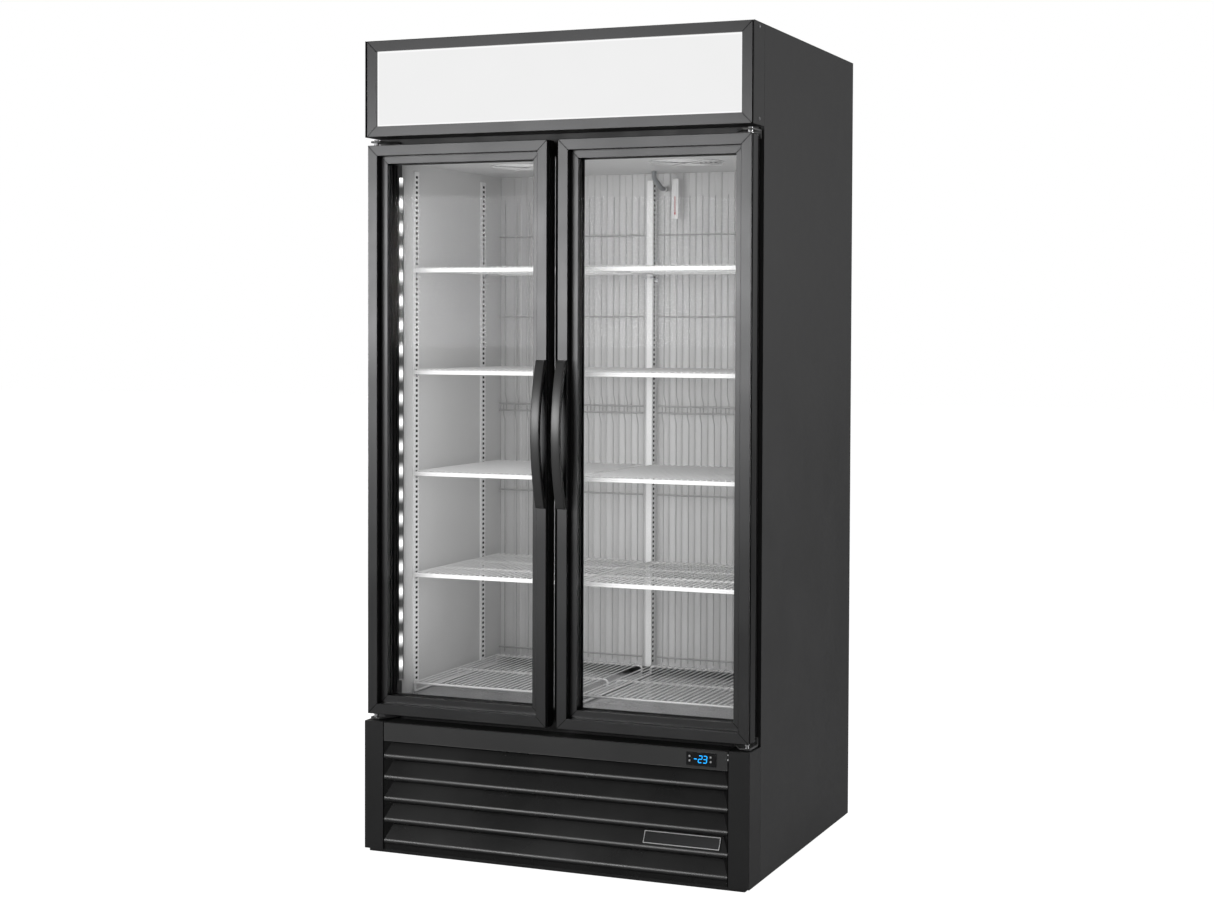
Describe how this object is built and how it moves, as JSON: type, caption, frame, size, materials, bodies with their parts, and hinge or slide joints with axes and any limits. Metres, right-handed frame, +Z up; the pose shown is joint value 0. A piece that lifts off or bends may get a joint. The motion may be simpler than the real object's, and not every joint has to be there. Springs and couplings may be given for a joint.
{
  "type": "glass door merchandiser",
  "caption": "Upright display freezer with side-hinged glass doors, bowed handles, a lit header panel, wire shelves, and a louvred machine base with a digital controller.",
  "frame": {"origin": "on the floor, under the middle of the whole object with its door handles", "axes": "+Z up, -Y is the front with the doors, +X is the right-hand side seen from the front"},
  "size_m": [1.0066, 0.865, 1.997],
  "materials": {
    "black_steel": "matte",
    "cabinet_paint": "matte",
    "foam": "matte",
    "liner_paint": "satin",
    "stainless_floor": "satin",
    "breaker_plastic": "matte",
    "header_steel": "matte",
    "anodised_frame": "satin",
    "sign_acrylic": "satin",
    "led_housing": "satin",
    "screw_steel": "satin",
    "hinge_steel": "satin",
    "chrome_pin": "polished",
    "grille_paint": "matte",
    "galvanised": "satin",
    "controller_plastic": "gloss",
    "display_glass": "gloss",
    "badge_metal": "satin",
    "key_cap": "satin",
    "compressor_paint": "satin",
    "coil_aluminium": "satin",
    "shroud_steel": "satin",
    "fan_plastic": "matte",
    "motor_steel": "satin",
    "copper_pipe": "satin",
    "inlet_plastic": "matte",
    "drain_plastic": "matte",
    "standard_paint": "satin",
    "coated_wire": "gloss",
    "clip_steel": "satin",
    "thermometer_plastic": "gloss",
    "door_plastic": "matte",
    "door_glass": "polished",
    "spacer_metal": "matte",
    "gasket_rubber": "matte",
    "handle_coat": "satin",
    "bushing_metal": "polished"
  },
  "bodies": {
    "cabinet": {"base_pan": "black_steel", "side_panel_left": "cabinet_paint", "side_panel_right": "cabinet_paint", "back_panel": "galvanised", "top_panel": "cabinet_paint", "insulation": "foam", "liner_panels": "liner_paint", "liner_back": "liner_paint", "liner_floor": "stainless_floor", "evaporator_cover": "liner_paint", "breaker_frame": "breaker_plastic", "header_housing": "header_steel", "sign_frame": "anodised_frame", "sign_panel": "sign_acrylic", "led_bars": "led_housing", "cabinet_screws": "screw_steel", "hinge_plates": "hinge_steel", "hinge_pins": "chrome_pin", "corner_trims": "cabinet_paint", "grille": "grille_paint", "rear_grille": "galvanised", "controller_housing": "controller_plastic", "display_window": "display_glass", "badge_plate": "badge_metal", "compressor": "compressor_paint", "condenser_coil": "coil_aluminium", "fan_shroud": "shroud_steel", "fan_motors": "motor_steel", "refrigerant_lines": "copper_pipe", "power_inlet": "inlet_plastic", "evaporator_coil": "coil_aluminium", "drain_tube": "drain_plastic", "shelf_standards": "standard_paint", "shelf_clips": "clip_steel", "shelves_left": "coated_wire", "shelves_right": "coated_wire", "floor_racks": "coated_wire", "rear_guards": "coated_wire", "thermometer": "thermometer_plastic"},
    "left_door": {"left_door_frame": "anodised_frame", "left_door_inner_frame": "door_plastic", "left_door_glass": "door_glass", "left_door_spacers": "spacer_metal", "left_door_gasket": "gasket_rubber", "left_door_handle": "handle_coat", "left_hinge_bushings": "bushing_metal"},
    "right_door": {"right_door_frame": "anodised_frame", "right_door_inner_frame": "door_plastic", "right_door_glass": "door_glass", "right_door_spacers": "spacer_metal", "right_door_gasket": "gasket_rubber", "right_door_handle": "handle_coat", "right_hinge_bushings": "bushing_metal"},
    "condenser_fan": {"condenser_fan": "fan_plastic"},
    "evaporator_fan_left": {"evaporator_fan_left": "fan_plastic"},
    "evaporator_fan_right": {"evaporator_fan_right": "fan_plastic"},
    "key_set": {"key_set": "key_cap"},
    "key_light": {"key_light": "key_cap"},
    "key_up": {"key_up": "key_cap"},
    "key_down": {"key_down": "key_cap"}
  },
  "joints": [
    {"name": "left_door_hinge", "type": "hinge", "parent": "cabinet", "child": "left_door", "pos_m": [-0.484, -0.3675, 1.0415], "axis": [0, 0, -1], "range_deg": [0, 115], "stiffness_Nm_per_rad": 1.2, "springref_deg": -11.46},
    {"name": "right_door_hinge", "type": "hinge", "parent": "cabinet", "child": "right_door", "pos_m": [0.484, -0.3675, 1.0415], "axis": [0, 0, 1], "range_deg": [0, 115], "stiffness_Nm_per_rad": 1.2, "springref_deg": -11.46},
    {"name": "condenser_fan_spin", "type": "hinge", "parent": "cabinet", "child": "condenser_fan", "pos_m": [0, -0.2515, 0.135], "axis": [0, 1, 0], "continuous": true},
    {"name": "evaporator_fan_left_spin", "type": "hinge", "parent": "cabinet", "child": "evaporator_fan_left", "pos_m": [-0.215, -0.0675, 1.7335], "axis": [0, 0, 1], "continuous": true},
    {"name": "evaporator_fan_right_spin", "type": "hinge", "parent": "cabinet", "child": "evaporator_fan_right", "pos_m": [0.215, -0.0675, 1.7335], "axis": [0, 0, 1], "continuous": true},
    {"name": "key_set_press", "type": "slide", "parent": "cabinet", "child": "key_set", "axis": [0, 1, 0], "range_m": [0, 0.0005], "stiffness_N_per_m": 400},
    {"name": "key_light_press", "type": "slide", "parent": "cabinet", "child": "key_light", "axis": [0, 1, 0], "range_m": [0, 0.0005], "stiffness_N_per_m": 400},
    {"name": "key_up_press", "type": "slide", "parent": "cabinet", "child": "key_up", "axis": [0, 1, 0], "range_m": [0, 0.0005], "stiffness_N_per_m": 400},
    {"name": "key_down_press", "type": "slide", "parent": "cabinet", "child": "key_down", "axis": [0, 1, 0], "range_m": [0, 0.0005], "stiffness_N_per_m": 400}
  ]
}
